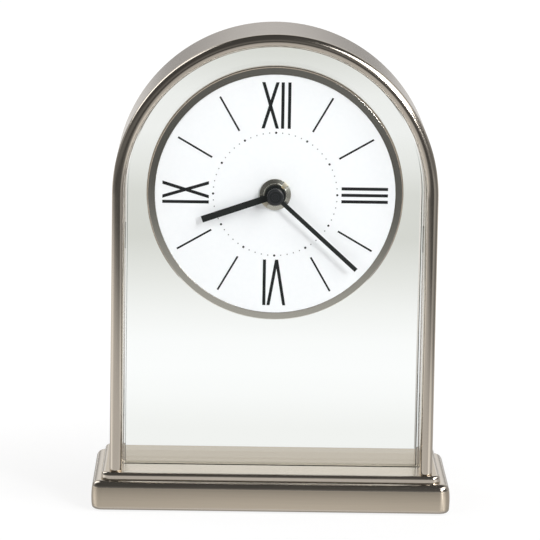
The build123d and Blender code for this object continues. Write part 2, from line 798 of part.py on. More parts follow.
def train_arbor(at, wheel_y, teeth, module, phase, pinion_layer_y, pinion_module, pinion_phase):
    """Arbor with a wheel and the pinion that meshes with the wheel of the layer before."""
    rod(arbor_front_y, arbor_back_y, at, arbor_diameter / 2)
    gear_layer(wheel_y, wheel_thickness, at, teeth, module, phase)
    gear_layer(pinion_layer_y - pinion_overlap, pinion_length, at, pinion_teeth, pinion_module, pinion_phase)


with BuildPart() as third_wheel:
    train_arbor(
        third_at, third_wheel_y, third_teeth, train_module, third_phase,
        centre_wheel_y, centre_module, third_pinion_phase,
    )
third_wheel.part.label = "third_wheel"

with BuildPart() as fourth_wheel:
    train_arbor(
        fourth_at, fourth_wheel_y, fourth_teeth, fourth_module, fourth_phase,
        third_wheel_y, train_module, fourth_pinion_phase,
    )
fourth_wheel.part.label = "fourth_wheel"

with BuildPart() as fifth_wheel:
    train_arbor(
        fifth_at, fifth_wheel_y, fifth_teeth, train_module, fifth_phase,
        fourth_wheel_y, fourth_module, fifth_pinion_phase,
    )
fifth_wheel.part.label = "fifth_wheel"

with BuildPart() as rotor:
    rod(arbor_front_y, arbor_back_y, rotor_at, arbor_diameter / 2)
    gear_layer(
        fifth_wheel_y - pinion_overlap, pinion_length, rotor_at,
        pinion_teeth, train_module, rotor_phase,
    )
    rod(magnet_y, magnet_y + magnet_length, rotor_at, magnet_radius)
rotor.part.label = "rotor"

# Motor: stator plate round the magnet, with the coil on its bar
with BuildPart() as stator:
    with BuildSketch(facing_front(stator_y)):
        with Locations((0, stator_z)):
            Rectangle(2 * stator_half_length, stator_bar)
        with Locations(rotor_at):
            Circle(magnet_radius + stator_gap + stator_ring)
            Circle(magnet_radius + stator_gap, mode=Mode.SUBTRACT)
    extrude(amount=-stator_thickness)
stator.part.label = "stator"

with BuildPart() as coil:
    with BuildSketch(Plane.YZ.offset(coil_x - coil_length / 2)):
        with Locations((stator_y + stator_thickness / 2, arch_centre_height + stator_z)):
            RectangleRounded(coil_depth, coil_height, coil_corner_radius)
            Rectangle(stator_thickness + 2 * core_fit, stator_bar + 2 * core_fit, mode=Mode.SUBTRACT)
    extrude(amount=coil_length)
coil.part.label = "coil"

# Circuit board with its chip cover and crystal
with BuildPart() as circuit_board:
    with BuildSketch(facing_front(board_y)):
        with Locations((board_x, board_z)):
            Rectangle(board_width, board_height)
        with Locations(setting_at):
            Circle(setting_arbor_diameter / 2 + board_hole_margin, mode=Mode.SUBTRACT)
    extrude(amount=-board_thickness)
circuit_board.part.label = "circuit_board"

chip_at = (board_x - board_width / 4, board_z)
crystal_at = (board_x, board_z - board_height / 2 + crystal_diameter)
with BuildPart() as chip_cover:
    with BuildSketch(facing_front(board_y + board_thickness, chip_at)):
        Circle(chip_diameter / 2)
    extrude(amount=-chip_height)
    fillet(chip_cover.edges().sort_by(Axis.Y)[-1], chip_height / 2)
chip_cover.part.label = "chip_cover"

with BuildPart() as quartz_crystal:
    crystal_y = board_y + board_thickness + crystal_diameter / 2
    with BuildSketch(Plane.YZ.offset(crystal_at[0] - crystal_length / 2)):
        with Locations((crystal_y, arch_centre_height + crystal_at[1])):
            Circle(crystal_diameter / 2)
    extrude(amount=crystal_length)
quartz_crystal.part.label = "quartz_crystal"

# Battery across the bay, with a contact at each end
with BuildPart() as battery:
    with BuildSketch(Plane.YZ.offset(-battery_length / 2 - battery_button_length / 2)):
        with Locations((battery_y, arch_centre_height + battery_z)):
            Circle(battery_diameter / 2)
    extrude(amount=battery_length)
    with BuildSketch(Plane.YZ.offset(battery_length / 2 - battery_button_length / 2)):
        with Locations((battery_y, arch_centre_height + battery_z)):
            Circle(battery_button_diameter / 2)
    extrude(amount=battery_button_length)
battery.part.label = "battery"


def contact(side):
    """Spring strip on an end wall of the bay, with a tail up past the partition."""
    wall_x = side * (inner_width - contact_thickness) / 2
    with BuildSketch(facing_front(battery_y - contact_width / 2)) as profile:
        with Locations((wall_x, bay_bottom + battery_fit)):
            Rectangle(
                contact_thickness,
                partition_top - bay_bottom + contact_tail,
                align=(Align.CENTER, Align.MIN),
            )
    extrude(profile.sketch, amount=-contact_width)


with BuildPart() as contact_minus:
    contact(-1)
contact_minus.part.label = "contact_minus"

with BuildPart() as contact_plus:
    contact(1)
    with BuildSketch(facing_front(battery_y - contact_width / 2)):
        with Locations((inner_width / 2, partition_top + layer_gap)):
            Rectangle(
                inner_width / 2 - board_x,
                contact_thickness,
                align=(Align.MAX, Align.MIN),
            )
    extrude(amount=-contact_strip_width)
contact_plus.part.label = "contact_plus"


def hand(y_back, angle, length, width, hub_radius, bore_radius):
    """Flat bar hand with a round hub, from Y forwards."""
    with BuildSketch(facing_front(y_back)) as profile:
        Rectangle(length, width, rotation=90 - angle, align=(Align.MIN, Align.CENTER))
        Circle(hub_radius)
        Circle(bore_radius, mode=Mode.SUBTRACT)
    extrude(profile.sketch, amount=hand_thickness)


with BuildPart() as hour_hand:
    pipe_bore = bush_bore / 2 - running_fit + hand_fit
    hand(hour_back_y, hour_angle, hour_length, hour_width, hour_hub_radius, pipe_bore)
hour_hand.part.label = "hour_hand"

with BuildPart() as minute_hand:
    hand(
        minute_back_y, minute_angle, minute_length, minute_width, minute_hub_radius,
        minute_shaft_diameter / 2 + hand_fit,
    )
minute_hand.part.label = "minute_hand"

with BuildPart() as hand_cap:
    rod(cap_front_y, minute_front_y, centre_at, minute_hub_radius)
    fillet(hand_cap.edges().sort_by(Axis.Y)[0], cap_edge_radius)
    rod(
        minute_front_y - cap_bore_depth, minute_front_y, centre_at,
        minute_shaft_diameter / 2 + hand_fit, Mode.SUBTRACT,
    )
hand_cap.part.label = "hand_cap"

pieces = (
    plinth, step_plate, bottom_plate, plate_screws, rubber_feet, arch_frame, arch_screws,
    glass_pane, glass_cushion, edge_pads, bezel_ring, dial_plate, dial_spacer, hole_sleeve,
    dial_washer, hand_nut, rear_cup, rubber_washer, front_case, rear_case, threaded_bush,
    train_bridge, bridge_screws, hour_wheel, minute_pipe, motion_wheel, setting_knob,
    centre_wheel, third_wheel, fourth_wheel, fifth_wheel, rotor, stator, coil, circuit_board,
    chip_cover, quartz_crystal, battery, contact_minus, contact_plus, hour_hand, minute_hand, hand_cap,
)
os.makedirs("parts", exist_ok=True)
for piece in pieces:
    export_step(piece.part, f"parts/{piece.part.label}.step")
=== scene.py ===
import math

import bmesh
import bpy
from mathutils import Matrix, Vector


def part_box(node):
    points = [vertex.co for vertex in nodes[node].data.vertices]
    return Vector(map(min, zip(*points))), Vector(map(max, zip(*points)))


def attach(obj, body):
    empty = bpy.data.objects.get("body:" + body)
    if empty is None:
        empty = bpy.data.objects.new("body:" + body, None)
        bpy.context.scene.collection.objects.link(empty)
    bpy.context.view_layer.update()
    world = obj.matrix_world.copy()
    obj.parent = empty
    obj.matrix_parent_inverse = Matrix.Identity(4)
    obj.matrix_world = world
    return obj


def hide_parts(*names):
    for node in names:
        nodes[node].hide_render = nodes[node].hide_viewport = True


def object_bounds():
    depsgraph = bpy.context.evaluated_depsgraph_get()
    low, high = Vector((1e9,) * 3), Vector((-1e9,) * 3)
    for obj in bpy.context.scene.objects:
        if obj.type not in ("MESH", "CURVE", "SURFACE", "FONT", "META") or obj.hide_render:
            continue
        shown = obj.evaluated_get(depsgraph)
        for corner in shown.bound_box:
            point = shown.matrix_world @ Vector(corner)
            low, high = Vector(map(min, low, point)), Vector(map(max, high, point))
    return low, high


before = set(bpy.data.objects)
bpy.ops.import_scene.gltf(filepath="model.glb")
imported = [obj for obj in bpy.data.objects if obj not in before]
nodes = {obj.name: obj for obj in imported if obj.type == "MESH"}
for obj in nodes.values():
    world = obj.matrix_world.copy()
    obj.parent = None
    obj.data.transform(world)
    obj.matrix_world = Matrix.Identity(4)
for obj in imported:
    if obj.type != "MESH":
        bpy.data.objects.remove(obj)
cad_low, cad_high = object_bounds()

# Millimetres in a metre
MM = 1000


def box(node):
    """Lowest and highest corners of a CAD node, in millimetres."""
    return [Vector(corner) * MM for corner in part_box(node)]


# Sizes in millimetres, from the CAD
AXIS = sum(corner.z for corner in box("dial_plate")) / 2
STEP_TOP = box("step_plate")[1].z
DIAL_RADIUS = box("dial_plate")[1].x
DIAL_FRONT, DIAL_BACK = (corner.y for corner in box("dial_plate"))
GLASS_FRONT, GLASS_BACK = (corner.y for corner in box("glass_pane"))


# Materials

def new_material(name, sockets):
    """A material whose Principled shader has the given constant sockets, with its nodes."""
    material = bpy.data.materials.new(name)
    material.use_nodes = True
    tree = material.node_tree
    surface = tree.nodes["Principled BSDF"]
    for socket, value in sockets.items():
        surface.inputs[socket].default_value = value
    return material, tree, surface


def add(tree, kind, inputs=None, **settings):
    """A node of the given kind; inputs are values or the sockets that they come from."""
    node = tree.nodes.new(kind)
    for key, value in settings.items():
        setattr(node, key, value)
    for key, value in (inputs or {}).items():
        if isinstance(value, bpy.types.NodeSocket):
            tree.links.new(value, node.inputs[key])
        else:
            node.inputs[key].default_value = value
    return node


def ramp(tree, factor, stops):
    """Colours at places along a value from 0 to 1."""
    node = add(tree, "ShaderNodeValToRGB", {"Fac": factor})
    elements = node.color_ramp.elements
    while len(elements) < len(stops):
        elements.new(1.0)
    for element, (place, colour) in zip(elements, stops):
        element.position = place
        element.color = (*colour, 1.0)
    return node.outputs["Color"]


def stretched(tree, scale):
    """Object coordinates, stretched along the axes."""
    place = add(tree, "ShaderNodeTexCoord").outputs["Object"]
    return add(tree, "ShaderNodeMapping", {"Vector": place, "Scale": scale}).outputs["Vector"]


def round_axis(tree, scale, along):
    """Distance from the axis of the hands and depth, for turned and spun marks."""
    place = add(tree, "ShaderNodeTexCoord").outputs["Object"]
    flat = add(tree, "ShaderNodeVectorMath", {0: place, 1: (0, 0, AXIS / MM)}, operation="SUBTRACT")
    flat = add(tree, "ShaderNodeVectorMath", {0: flat.outputs[0], 1: (1, 0, 1)}, operation="MULTIPLY")
    far = add(tree, "ShaderNodeVectorMath", {0: flat.outputs[0]}, operation="LENGTH").outputs["Value"]
    depth = add(tree, "ShaderNodeSeparateXYZ", {"Vector": place}).outputs["Y"]
    far = add(tree, "ShaderNodeMath", {0: far, 1: scale}, operation="MULTIPLY").outputs[0]
    depth = add(tree, "ShaderNodeMath", {0: depth, 1: along}, operation="MULTIPLY").outputs[0]
    return add(tree, "ShaderNodeCombineXYZ", {"X": far, "Y": depth}).outputs[0]


def finish(tree, surface, value, colours, rough, bump, reach):
    """Colour, roughness and bump of a surface from one pattern."""
    colour = ramp(tree, value, ((0.25, colours[0]), (0.75, colours[1])))
    tree.links.new(colour, surface.inputs["Base Color"])
    spread = add(tree, "ShaderNodeMapRange", {"Value": value, "To Min": rough[0], "To Max": rough[1]})
    tree.links.new(spread.outputs["Result"], surface.inputs["Roughness"])
    height = add(tree, "ShaderNodeBump", {"Height": value, "Strength": bump, "Distance": reach})
    tree.links.new(height.outputs["Normal"], surface.inputs["Normal"])


def grained(name, colours, rough, scale, bump, reach, sockets, detail=3.0):
    """A material with noise in its colour, roughness and bump; scale stretches the noise."""
    material, tree, surface = new_material(name, sockets)
    vector = stretched(tree, scale)
    noise = add(tree, "ShaderNodeTexNoise", {"Vector": vector, "Scale": 1.0, "Detail": detail})
    finish(tree, surface, noise.outputs["Fac"], colours, rough, bump, reach)
    return material


def turned(name, colours, rough, scale, along, bump, reach, sockets):
    """A material with fine marks that run round the axis of the hands."""
    material, tree, surface = new_material(name, sockets)
    vector = round_axis(tree, scale, along)
    noise = add(tree, "ShaderNodeTexNoise", {"Vector": vector, "Scale": 1.0, "Detail": 4.0})
    finish(tree, surface, noise.outputs["Fac"], colours, rough, bump, reach)
    return material


def evenly(colour, spread):
    """A colour and the same colour a little darker and lighter."""
    return tuple(c * (1 - spread) for c in colour), tuple(c * (1 + spread) for c in colour)


METAL = {"Metallic": 1.0}
NICKEL = (0.66, 0.58, 0.475)


def make_satin_base():
    """Nickel brushed sideways, so that lights smear up and down."""
    material = grained(
        "satin_base", evenly(NICKEL, 0.03), (0.27, 0.34), (25, 1900, 1900), 0.04, 0.00002,
        {"Metallic": 1.0, "Anisotropic": 0.75, "Anisotropic Rotation": 0.25},
    )
    tree = material.node_tree
    around = add(tree, "ShaderNodeTangent", direction_type="RADIAL", axis="Z")
    tree.links.new(around.outputs["Tangent"], tree.nodes["Principled BSDF"].inputs["Tangent"])
    return material


satin_base = make_satin_base()
satin_top = grained(
    "satin_top", evenly(NICKEL, 0.03), (0.22, 0.29), (25, 1900, 1900), 0.04, 0.00002, METAL
)
satin_arch = grained(
    "satin_arch", evenly((0.60, 0.53, 0.47), 0.07), (0.15, 0.21), (14, 2200, 14), 0.12, 0.00002, METAL
)
polished = grained(
    "polished_nickel", evenly((0.66, 0.60, 0.525), 0.02), (0.13, 0.18), (60, 60, 60), 0.02, 0.00001, METAL
)
bezel_face = turned(
    "bezel_face", evenly((0.63, 0.62, 0.56), 0.05), (0.20, 0.28), 5200, 300, 0.04, 0.00002, METAL
)
# Thin edge of the ring: polished, and lighter than the face as a painted highlight
bezel_edge_painted_highlight = turned(
    "bezel_edge_painted_highlight", evenly((0.90, 0.88, 0.84), 0.03), (0.08, 0.14), 2600, 2600, 0.02, 0.00001, METAL
)
nut_metal = turned(
    "nut_metal", evenly((0.61, 0.61, 0.545), 0.03), (0.20, 0.26), 1500, 1500, 0.02, 0.00001, METAL
)
# Floors of the nut's slot: lighter than the nut's metal, a painted highlight
slot_painted_highlight = grained(
    "slot_painted_highlight", evenly((0.74, 0.70, 0.58), 0.04), (0.42, 0.52), (900, 900, 900), 0.05, 0.00001, METAL
)
dial_white = grained(
    "dial_white", ((0.90, 0.925, 0.94), (0.92, 0.94, 0.952)), (0.42, 0.50), (700, 700, 700), 0.03, 0.00002,
    {"IOR": 1.45},
)
ink = grained(
    "ink", ((0.006, 0.008, 0.008), (0.012, 0.014, 0.014)), (0.45, 0.60), (900, 900, 900), 0.10, 0.00002,
    {"IOR": 1.40},
)
ink_grey = grained(
    "ink_grey", ((0.20, 0.205, 0.21), (0.27, 0.275, 0.28)), (0.50, 0.62), (900, 900, 900), 0.10, 0.00002,
    {"IOR": 1.45},
)
hand_black = grained(
    "hand_black", ((0.013, 0.0155, 0.015), (0.019, 0.022, 0.0215)), (0.34, 0.46), (800, 800, 800), 0.08,
    0.00002, {"IOR": 1.36},
)
cap_black = turned(
    "cap_black", ((0.014, 0.016, 0.017), (0.022, 0.024, 0.026)), (0.22, 0.32), 4000, 4000, 0.06, 0.00002,
    {"IOR": 1.5},
)
zinc = grained(
    "zinc", ((0.52, 0.53, 0.55), (0.74, 0.75, 0.76)), (0.28, 0.44), (160, 160, 160), 0.08, 0.00002, METAL,
    1.0,
)
rubber = grained(
    "rubber", ((0.020, 0.020, 0.021), (0.040, 0.040, 0.041)), (0.70, 0.85), (2600, 2600, 2600), 0.35,
    0.00005, {"IOR": 1.45},
)
clear_pad = grained(
    "clear_pad", ((0.78, 0.79, 0.77), (0.86, 0.87, 0.85)), (0.18, 0.30), (500, 500, 500), 0.10, 0.00002,
    {"Transmission Weight": 0.85, "IOR": 1.45},
)
cup_metal = turned(
    "cup_metal", evenly((0.62, 0.585, 0.53), 0.06), (0.24, 0.36), 3000, 1600, 0.08, 0.00003, METAL
)
white_plastic = grained(
    "white_plastic", ((0.78, 0.78, 0.76), (0.86, 0.86, 0.84)), (0.36, 0.48), (1200, 1200, 1200), 0.12,
    0.00002, {"Subsurface Weight": 0.05, "IOR": 1.48},
)
case_plastic = grained(
    "case_plastic", ((0.020, 0.020, 0.021), (0.036, 0.036, 0.038)), (0.38, 0.52), (3200, 3200, 3200), 0.35,
    0.00004, {"IOR": 1.5},
)
knob_plastic = grained(
    "knob_plastic", ((0.022, 0.022, 0.023), (0.042, 0.042, 0.044)), (0.32, 0.46), (2400, 2400, 2400), 0.30,
    0.00003, {"IOR": 1.5},
)
brass = turned(
    "brass", evenly((0.76, 0.56, 0.25), 0.06), (0.16, 0.28), 5000, 5000, 0.06, 0.00002, METAL
)
wheel_plastic = grained(
    "wheel_plastic", ((0.74, 0.74, 0.69), (0.82, 0.82, 0.78)), (0.34, 0.46), (1500, 1500, 1500), 0.12,
    0.00002, {"Subsurface Weight": 0.08, "IOR": 1.48},
)
magnet = grained(
    "magnet", ((0.10, 0.10, 0.105), (0.20, 0.20, 0.21)), (0.40, 0.55), (2200, 2200, 2200), 0.25, 0.00003,
    {"Metallic": 0.4},
)
steel = grained(
    "steel", ((0.48, 0.48, 0.485), (0.62, 0.62, 0.62)), (0.26, 0.38), (60, 2600, 60), 0.15, 0.00003, METAL
)
can_metal = grained(
    "can_metal", evenly((0.80, 0.80, 0.81), 0.04), (0.14, 0.24), (60, 1500, 60), 0.05, 0.00002, METAL
)


def make_glass():
    """Clear float glass, a little wavy, with the green that shows along its edges."""
    material, tree, surface = new_material(
        "clear_glass",
        {"Base Color": (0.985, 0.995, 0.988, 1), "Roughness": 0.0, "IOR": 1.5, "Transmission Weight": 1.0},
    )
    vector = stretched(tree, (9, 9, 9))
    waves = add(tree, "ShaderNodeTexNoise", {"Vector": vector, "Scale": 1.0, "Detail": 1.0}).outputs["Fac"]
    height = add(tree, "ShaderNodeBump", {"Height": waves, "Strength": 0.02, "Distance": 0.0005})
    tree.links.new(height.outputs["Normal"], surface.inputs["Normal"])
    volume = add(tree, "ShaderNodeVolumeAbsorption", {"Color": (0.62, 0.80, 0.70, 1), "Density": 6.0})
    tree.links.new(volume.outputs["Volume"], tree.nodes["Material Output"].inputs["Volume"])
    return material


def make_coil():
    """Turns of fine copper wire side by side."""
    material, tree, surface = new_material("coil_wire", {"Metallic": 1.0, "Coat Weight": 0.4})
    wave = add(
        tree, "ShaderNodeTexWave",
        {"Vector": stretched(tree, (1, 1, 1)), "Scale": 900.0, "Distortion": 0.6}, bands_direction="X",
    )
    copper = ((0.40, 0.16, 0.06), (0.74, 0.38, 0.18))
    finish(tree, surface, wave.outputs["Fac"], copper, (0.22, 0.36), 0.8, 0.0001)
    return material


def make_board():
    """Green lacquered board with lighter tracks."""
    material, tree, surface = new_material("board", {"Coat Weight": 0.3, "Coat Roughness": 0.2})
    tracks = add(
        tree, "ShaderNodeTexBrick",
        {"Vector": stretched(tree, (420, 420, 420)), "Scale": 1.0,
         "Mortar Size": 0.12, "Mortar Smooth": 0.2,
         "Color1": (0.1, 0.1, 0.1, 1), "Color2": (0.2, 0.2, 0.2, 1), "Mortar": (0.9, 0.9, 0.9, 1)},
    )
    value = add(tree, "ShaderNodeRGBToBW", {"Color": tracks.outputs["Color"]}).outputs[0]
    finish(tree, surface, value, ((0.02, 0.13, 0.05), (0.05, 0.25, 0.09)), (0.32, 0.44), 0.3, 0.00005)
    return material


def make_battery():
    """Printed wrap in two plain colours over a steel can, by shares of the length."""
    base, body, band, button = 0.0, 0.028, 0.74, 0.965
    can, spare = (0.62, 0.62, 0.63), 0.15
    reach = (box("battery")[1].x + spare) / MM
    material, tree, surface = new_material("battery_wrap", {"Coat Weight": 0.5, "Coat Roughness": 0.15})
    place = add(tree, "ShaderNodeTexCoord").outputs["Object"]
    along = add(tree, "ShaderNodeSeparateXYZ", {"Vector": place}).outputs["X"]
    share = add(tree, "ShaderNodeMapRange", {"Value": along, "From Min": -reach, "From Max": reach})
    bands = ramp(
        tree, share.outputs["Result"],
        ((base, can), (body, (0.40, 0.42, 0.41)), (band, (0.07, 0.085, 0.10)), (button, can)),
    )
    bands.node.color_ramp.interpolation = "CONSTANT"
    tree.links.new(bands, surface.inputs["Base Color"])
    vector = stretched(tree, (120, 120, 120))
    noise = add(tree, "ShaderNodeTexNoise", {"Vector": vector, "Scale": 1.0}).outputs["Fac"]
    spread = add(tree, "ShaderNodeMapRange", {"Value": noise, "To Min": 0.24, "To Max": 0.34})
    tree.links.new(spread.outputs["Result"], surface.inputs["Roughness"])
    shine = ramp(
        tree, share.outputs["Result"],
        ((base, (1, 1, 1)), (body, (0.2, 0.2, 0.2)), (band, (0.1, 0.1, 0.1)), (button, (1, 1, 1))),
    )
    shine.node.color_ramp.interpolation = "CONSTANT"
    tree.links.new(shine, surface.inputs["Metallic"])
    height = add(tree, "ShaderNodeBump", {"Height": noise, "Strength": 0.05, "Distance": 0.00003})
    tree.links.new(height.outputs["Normal"], surface.inputs["Normal"])
    return material


glass = make_glass()
coil_wire = make_coil()
board = make_board()
battery_wrap = make_battery()


# Mesh tools, in millimetres

def rounded(points, radii, steps=8):
    """A closed outline with each corner turned into an arc."""
    outline = []
    for i, radius in enumerate(radii):
        corner = Vector(points[i])
        if radius <= 0:
            outline.append(tuple(corner))
            continue
        back = (Vector(points[i - 1]) - corner).normalized()
        ahead = (Vector(points[(i + 1) % len(points)]) - corner).normalized()
        half = back.angle(ahead) / 2
        centre = corner + (back + ahead).normalized() * (radius / math.sin(half))
        start = corner + back * (radius / math.tan(half)) - centre
        end = corner + ahead * (radius / math.tan(half)) - centre
        first = math.atan2(start.y, start.x)
        turn = (math.atan2(end.y, end.x) - first + math.pi) % (2 * math.pi) - math.pi
        for k in range(steps + 1):
            angle = first + turn * k / steps
            outline.append((centre.x + radius * math.cos(angle), centre.y + radius * math.sin(angle)))
    return outline


def skin(bm, rows, tints=None, along=False):
    """Quads between closed rows of points; returns the rows of vertices."""
    made = [[bm.verts.new(point) for point in row] for row in rows]
    pairs = list(zip(made, made[1:] + made[:1] if along else made[1:]))
    for k, (lower, upper) in enumerate(pairs):
        for i in range(len(lower)):
            face = bm.faces.new((lower[i - 1], lower[i], upper[i], upper[i - 1]))
            face.material_index = tints[k] if tints else 0
    return made


def close(bm, loops, tint=0):
    """A flat face inside one loop of vertices, with the other loops as holes."""
    if len(loops) == 1:
        bm.faces.new(loops[0]).material_index = tint
        return
    edges = [bm.edges.get((loop[i - 1], loop[i])) for loop in loops for i in range(len(loop))]
    for shape in bmesh.ops.triangle_fill(bm, use_beauty=True, edges=edges)["geom"]:
        if isinstance(shape, bmesh.types.BMFace):
            shape.material_index = tint


def ring(radius, y, turns):
    """Points round the axis of the hands."""
    angles = [2 * math.pi * k / turns for k in range(turns)]
    return [(radius * math.cos(a), y, AXIS + radius * math.sin(a)) for a in angles]


def lathe(profile, tints=None, turns=180, closed=True):
    """A profile of radius and depth turned round the axis of the hands."""
    bm = bmesh.new()
    made = skin(bm, [ring(radius, y, turns) for radius, y in profile], tints, closed)
    if not closed:
        close(bm, [made[0]])
        close(bm, [made[-1]])
    return bm


def piece(name, bm, body, materials, replaced=(), sharp=35.0):
    """Makes a mesh in millimetres into a piece that rides on a body."""
    bmesh.ops.recalc_face_normals(bm, faces=bm.faces)
    bm.transform(Matrix.Scale(1 / MM, 4))
    mesh = bpy.data.meshes.new(name)
    bm.to_mesh(mesh)
    bm.free()
    mesh.shade_smooth()
    mesh.set_sharp_from_angle(angle=math.radians(sharp))
    for material in materials:
        mesh.materials.append(material)
    shown = bpy.data.objects.new(name, mesh)
    bpy.context.scene.collection.objects.link(shown)
    normals = shown.modifiers.new("normals", "WEIGHTED_NORMAL")
    normals.keep_sharp = True
    normals.weight = 100
    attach(shown, body)
    if replaced:
        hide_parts(*replaced)
    return shown


def quarter(radius, steps, first, last):
    """Inset and rise along part of a rounded edge, by angle from the flat side."""
    angles = [math.radians(first + (last - first) * k / steps) for k in range(steps + 1)]
    return [(radius * (1 - math.cos(a)), radius * math.sin(a)) for a in angles]


def swung(points, angle):
    """Points given sideways and outwards from the axis of the hands, turned clockwise by an angle."""
    side, out = math.cos(math.radians(angle)), math.sin(math.radians(angle))
    return [(u * side + v * out, AXIS - u * out + v * side) for u, v in points]


# Base: two steps with rounded, polished edges

# Places of the metals in the list
SIDE, EDGE, TOP = range(3)
BASE_METALS = [satin_base, polished, satin_top]


def plan(half_x, half_y, radius, z):
    """A level outline of the base, with corners that are never quite sharp."""
    least = 0.05
    corners = [(half_x, half_y), (-half_x, half_y), (-half_x, -half_y), (half_x, -half_y)]
    return [(x, y, z) for x, y in rounded(corners, [max(radius, least)] * 4, 10)]


def stacked(bm, high, corner, levels):
    """Walls through levels of inset, height and material, on the plan of a step of the base."""
    rows = [plan(high.x - inset, high.y - inset, corner - inset, z) for inset, z, _ in levels]
    return skin(bm, rows, [min(lower[2], upper[2]) for lower, upper in zip(levels, levels[1:])])


def make_plinth():
    low, high = box("plinth")
    corner, foot, top, wall = 4.5, 1.5, 3.0, 3.0
    lean_top, lean_foot = 7.0, 6.0
    turn_in, ledge, rows = 2.0, 0.3, 7
    start = low.z + foot * (1 - math.sin(math.radians(lean_foot)))
    end = high.z - top * (1 - math.sin(math.radians(lean_top)))
    slope_top, slope_foot = math.tan(math.radians(lean_top)), math.tan(math.radians(lean_foot))
    crown = (slope_top + slope_foot) / 2 / (end - start)
    middle = start + slope_foot / 2 / crown

    def crowned(z):
        return crown * (z - middle) ** 2

    fillet = [(inset, high.z - top + rise) for inset, rise in quarter(top, 12, lean_top, 90)]
    under = [(inset, low.z + foot - rise) for inset, rise in quarter(foot, 7, 90, lean_foot)]
    shift_top = crowned(fillet[0][1]) - fillet[0][0]
    shift_foot = crowned(under[-1][1]) - under[-1][0]
    between = [start + (end - start) * k / rows for k in range(1, rows)]
    levels = [(wall, low.z + turn_in, SIDE), (wall, low.z, SIDE)]
    levels += [(inset + shift_foot, z, EDGE) for inset, z in under]
    levels += [(crowned(z), z, SIDE) for z in between]
    levels += [(inset + shift_top, z, EDGE) for inset, z in fillet]
    levels += [(top + shift_top + ledge, high.z, TOP)]
    bm = bmesh.new()
    made = stacked(bm, high, corner, levels)
    close(bm, [made[-1]], TOP)
    close(bm, [made[0]])
    return piece("plinth_shell", bm, "case", BASE_METALS, ["plinth"])


def make_step():
    low, high = box("step_plate")
    corner, top, ledge, gap, deep = 3.4, 1.5, 0.1, 0.09, 1.2
    levels = [(0.0, low.z, EDGE), (0.0, STEP_TOP - top - ledge, EDGE)]
    levels += [(inset, STEP_TOP - top + rise, EDGE) for inset, rise in quarter(top, 10, 0, 90)]
    levels += [(top + ledge, STEP_TOP, TOP)]
    bm = bmesh.new()
    made = stacked(bm, high, corner, levels)
    close(bm, [made[0]])
    near, far, side = GLASS_FRONT - gap, GLASS_BACK + gap, box("glass_pane")[1].x + gap
    slot = [(side, near), (-side, near), (-side, far), (side, far)]
    walls = skin(bm, [[(x, y, z) for x, y in slot] for z in (STEP_TOP, STEP_TOP - deep)])
    close(bm, [walls[1]])
    close(bm, [made[-1], walls[0]], TOP)
    return piece("step_shell", bm, "case", BASE_METALS, ["step_plate"])


make_plinth()
make_step()


# Arch: a band on edge with rounded, polished front and rear edges

def make_arch():
    inner, outer, half_depth = 60.6, 65.8, box("arch_frame")[1].y
    edge, foot, slack, turns = 2.5, 0.5, 0.01, 120
    leg = (17.5, 60.0, 110.0)

    def section(inset):
        near, far, deep = inner + inset, outer - inset, half_depth - inset
        corners = [(near, -deep), (far, -deep), (far, deep), (near, deep)]
        return rounded(corners, [edge - inset] * 4, 12)

    stations = [(math.pi, STEP_TOP + foot - rise - AXIS, inset) for inset, rise in quarter(foot, 4, 90, 0)]
    stations += [(math.pi, z - AXIS, 0.0) for z in leg]
    stations += [(math.pi * (1 - k / turns), 0.0, 0.0) for k in range(turns + 1)]
    stations += [(0.0, z - AXIS, 0.0) for z in reversed(leg)]
    stations += [(0.0, STEP_TOP + foot - rise - AXIS, inset) for inset, rise in quarter(foot, 4, 0, 90)]
    rows = []
    for angle, drop, inset in stations:
        away, lift = math.cos(angle), math.sin(angle)
        rows.append([(r * away, y, AXIS + r * lift + drop) for r, y in section(inset)])
    bm = bmesh.new()
    made = skin(bm, rows)
    close(bm, [made[0]])
    close(bm, [made[-1]])
    for face in bm.faces:
        face.material_index = int(max(abs(v.co.y) for v in face.verts) > half_depth - edge + slack)
    return piece("arch_band", bm, "case", [satin_arch, polished], ["arch_frame"])


make_arch()


# Glass: an arched pane with ground arrises and a hole for the bush

def make_glass_pane():
    radius, bottom = 60.3, box("glass_pane")[0].z
    arris, bore, leg, turns, hole_turns = 0.5, 5.1, (60.0, 100.0), 144, 48

    def outline(inset, y):
        far, foot = radius - inset, bottom + inset
        angles = [math.pi * k / turns for k in range(turns + 1)]
        points = [(far, y, z) for z in (foot, *leg)]
        points += [(far * math.cos(a), y, AXIS + far * math.sin(a)) for a in angles]
        return points + [(-far, y, z) for z in (*reversed(leg), foot)]

    bm = bmesh.new()
    made = skin(bm, [outline(inset, y) for inset, y in (
        (arris, GLASS_FRONT), (0, GLASS_FRONT + arris), (0, GLASS_BACK - arris), (arris, GLASS_BACK),
    )])
    hole = skin(bm, [ring(bore, y, hole_turns) for y in (GLASS_FRONT, GLASS_BACK)])
    close(bm, [made[0], hole[0]])
    close(bm, [made[-1], hole[-1]])
    return piece("glass_sheet", bm, "case", [glass], ["glass_pane"], 20.0)


make_glass_pane()


# Dial, its ring and its print

DIAL_TURNS = 240


